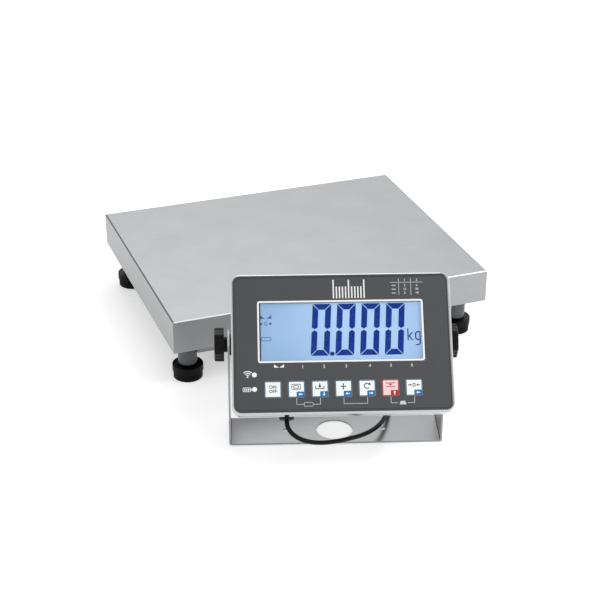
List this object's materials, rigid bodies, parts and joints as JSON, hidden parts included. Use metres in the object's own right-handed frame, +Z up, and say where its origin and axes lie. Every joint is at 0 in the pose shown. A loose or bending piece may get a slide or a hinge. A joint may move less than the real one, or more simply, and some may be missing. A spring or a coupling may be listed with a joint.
{
  "type": "platform scale",
  "caption": "Bench platform scale: a flat sheet-metal weighing plate on levelling feet, cabled to a tilting digital display with keys on a U-shaped stand.",
  "frame": {"origin": "middle of the weighing plate's top face", "axes": "+Z up out of the weighing plate, +X to the platform's right and -Y towards the display, seen from the display's side"},
  "size_m": [0.4, 0.5878, 0.194],
  "materials": {
    "plate_steel": "brushed stainless sheet",
    "frame_steel": "satin grey paint on steel",
    "cell_aluminium": "machined aluminium",
    "fastener_steel": "zinc plated",
    "dark_steel": "dark satin coating on steel",
    "foot_rubber": "black moulded rubber",
    "knob_plastic": "black glass-filled nylon",
    "gland_plastic": "black nylon",
    "level_plastic": "white moulded plastic",
    "level_vial": "tinted acrylic",
    "stand_steel": "brushed stainless sheet",
    "housing_steel": "satin stainless",
    "panel_film": "printed polyester film",
    "window_clear": "clear hard-coated polycarbonate",
    "lcd": "backlit liquid crystal display",
    "light_guide": "white diffuser",
    "circuit_board": "glass-fibre board with solder mask",
    "dome_steel": "stainless spring steel",
    "key_white": "printed film over moulded cap",
    "key_red": "printed film over moulded cap",
    "light_lens": "clear diffusing lens",
    "battery_wrap": "shrink-wrapped cells",
    "boss_brass": "turned brass",
    "washer_nylon": "grey nylon",
    "gasket_rubber": "foamed rubber",
    "cable_jacket": "black PVC jacket",
    "tie_plastic": "black nylon strap"
  },
  "bodies": {
    "base": {"upper_beam": "frame_steel", "upper_arm_left": "frame_steel", "upper_arm_right": "frame_steel", "plate_buffers": "foot_rubber", "load_cell": "cell_aluminium", "load_cell_covers": "cell_aluminium", "load_cell_spacers": "cell_aluminium", "load_cell_bolts": "fastener_steel", "load_cell_lead": "cable_jacket", "base_beam": "frame_steel", "base_rail_left": "frame_steel", "base_rail_right": "frame_steel", "base_rail_front": "frame_steel", "base_rail_rear": "frame_steel", "foot_tubes": "dark_steel", "overload_stops": "fastener_steel", "level_cup": "level_plastic", "level_vial": "level_vial", "platform_gland": "gland_plastic", "display_stand": "stand_steel", "display_cable": "cable_jacket", "platform_cable": "cable_jacket", "cable_coil": "cable_jacket", "cable_tie": "tie_plastic"},
    "plate": {"weighing_plate": "plate_steel"},
    "head": {"front_housing": "housing_steel", "housing_gasket": "gasket_rubber", "rear_housing": "housing_steel", "housing_screws": "fastener_steel", "operating_panel": "panel_film", "display_window": "window_clear", "lcd_glass": "lcd", "lcd_backlight": "light_guide", "display_board": "circuit_board", "snap_domes": "dome_steel", "status_lights": "light_lens", "main_board": "circuit_board", "battery": "battery_wrap", "pivot_bosses": "boss_brass", "pivot_washers": "washer_nylon", "display_gland": "gland_plastic"},
    "knob_left": {"clamp_knob_left": "knob_plastic", "clamp_screw_left": "fastener_steel"},
    "knob_right": {"clamp_knob_right": "knob_plastic", "clamp_screw_right": "fastener_steel"},
    "key_1": {"key_1": "key_white"},
    "key_2": {"key_2": "key_white"},
    "key_3": {"key_3": "key_white"},
    "key_4": {"key_4": "key_white"},
    "key_5": {"key_5": "key_white"},
    "key_6": {"key_6": "key_red"},
    "key_7": {"key_7": "key_white"},
    "foot_front_left": {"foot_pad_front_left": "foot_rubber", "foot_screw_front_left": "knob_plastic"},
    "foot_front_right": {"foot_pad_front_right": "foot_rubber", "foot_screw_front_right": "knob_plastic"},
    "foot_rear_left": {"foot_pad_rear_left": "foot_rubber", "foot_screw_rear_left": "knob_plastic"},
    "foot_rear_right": {"foot_pad_rear_right": "foot_rubber", "foot_screw_rear_right": "knob_plastic"}
  },
  "joints": [
    {"name": "plate_lift", "type": "slide", "parent": "base", "child": "plate", "axis": [0, 0, 1], "range_m": [0, 0.06]},
    {"name": "display_tilt", "type": "hinge", "parent": "base", "child": "head", "pos_m": [-0.05505, -0.30339, 0.0218], "axis": [0.9521, -0.3057, 0], "range_deg": [-35, 40], "deforming": ["display_cable"]},
    {"name": "knob_left_turn", "type": "hinge", "parent": "head", "child": "knob_left", "pos_m": [-0.16787, -0.26717, 0.0218], "axis": [-0.9521, 0.3057, 0], "range_deg": [0, 360]},
    {"name": "knob_right_turn", "type": "hinge", "parent": "head", "child": "knob_right", "pos_m": [0.05778, -0.33962, 0.0218], "axis": [0.9521, -0.3057, 0], "range_deg": [0, 360]},
    {"name": "key_1_press", "type": "slide", "parent": "head", "child": "key_1", "axis": [0.2279, 0.7098, -0.6665], "range_m": [0, 0.0004], "stiffness_N_per_m": 2500},
    {"name": "key_2_press", "type": "slide", "parent": "head", "child": "key_2", "axis": [0.2279, 0.7098, -0.6665], "range_m": [0, 0.0004], "stiffness_N_per_m": 2500},
    {"name": "key_3_press", "type": "slide", "parent": "head", "child": "key_3", "axis": [0.2279, 0.7098, -0.6665], "range_m": [0, 0.0004], "stiffness_N_per_m": 2500},
    {"name": "key_4_press", "type": "slide", "parent": "head", "child": "key_4", "axis": [0.2279, 0.7098, -0.6665], "range_m": [0, 0.0004], "stiffness_N_per_m": 2500},
    {"name": "key_5_press", "type": "slide", "parent": "head", "child": "key_5", "axis": [0.2279, 0.7098, -0.6665], "range_m": [0, 0.0004], "stiffness_N_per_m": 2500},
    {"name": "key_6_press", "type": "slide", "parent": "head", "child": "key_6", "axis": [0.2279, 0.7098, -0.6665], "range_m": [0, 0.0004], "stiffness_N_per_m": 2500},
    {"name": "key_7_press", "type": "slide", "parent": "head", "child": "key_7", "axis": [0.2279, 0.7098, -0.6665], "range_m": [0, 0.0004], "stiffness_N_per_m": 2500},
    {"name": "foot_front_left_level", "type": "slide", "parent": "base", "child": "foot_front_left", "axis": [0, 0, -1], "range_m": [0, 0.012]},
    {"name": "foot_front_right_level", "type": "slide", "parent": "base", "child": "foot_front_right", "axis": [0, 0, -1], "range_m": [0, 0.012]},
    {"name": "foot_rear_left_level", "type": "slide", "parent": "base", "child": "foot_rear_left", "axis": [0, 0, -1], "range_m": [0, 0.012]},
    {"name": "foot_rear_right_level", "type": "slide", "parent": "base", "child": "foot_rear_right", "axis": [0, 0, -1], "range_m": [0, 0.012]}
  ]
}
